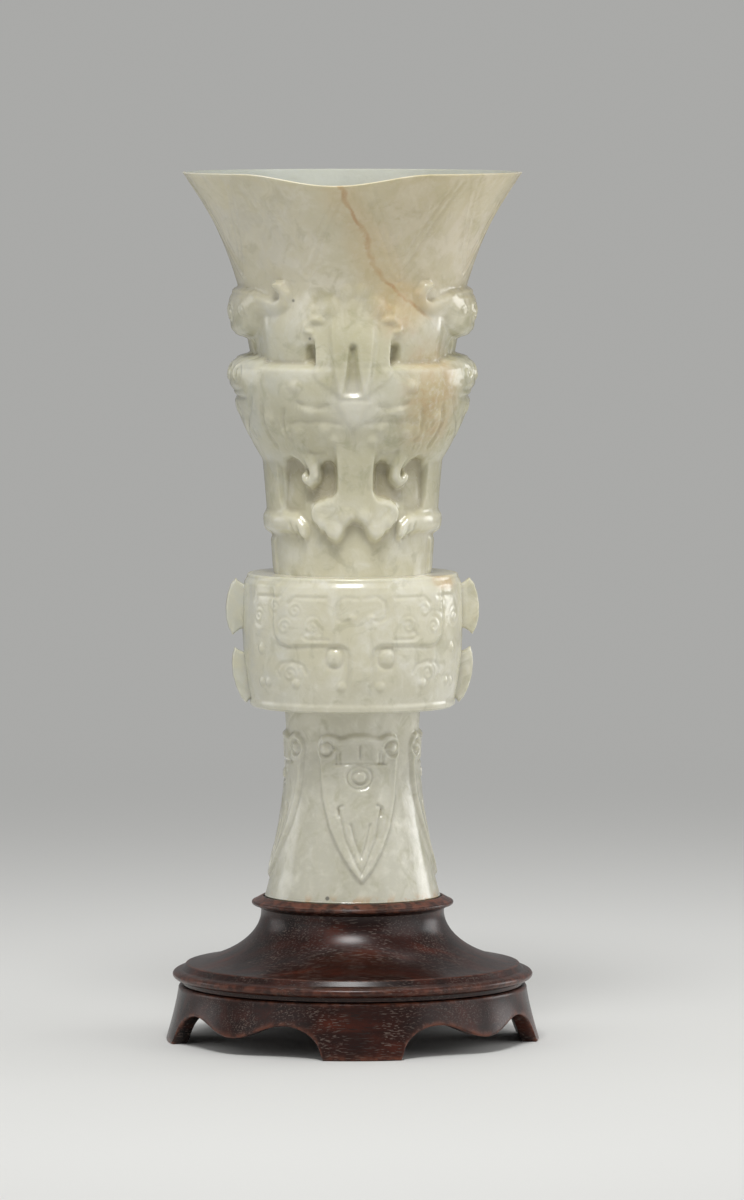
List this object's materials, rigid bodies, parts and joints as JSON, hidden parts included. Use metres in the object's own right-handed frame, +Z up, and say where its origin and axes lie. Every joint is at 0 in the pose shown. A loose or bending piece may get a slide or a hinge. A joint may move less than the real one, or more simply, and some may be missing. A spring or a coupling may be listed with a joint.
{
  "type": "jade vase",
  "caption": "Carved jade beaker vase with a flared mouth, flanged knop and spreading foot, standing in the seat of a turned hardwood stand with bracket feet.",
  "frame": {"origin": "on the floor, under the middle of the stand", "axes": "+Z up, the vase's front towards -Y, the knop's flanges along X"},
  "size_m": [0.1038, 0.1038, 0.2408],
  "materials": {
    "jade": "polished pale green-white jade with russet veins",
    "hardwood": "dark red-brown hardwood, waxed and rubbed"
  },
  "bodies": {
    "stand": {"stand_top": "hardwood", "apron_ring": "hardwood"},
    "vase": {"vase": "jade"}
  },
  "joints": [
    {"name": "vase_lift", "type": "slide", "parent": "stand", "child": "vase", "axis": [0, 0, 1], "range_m": [0, 0.08]}
  ]
}
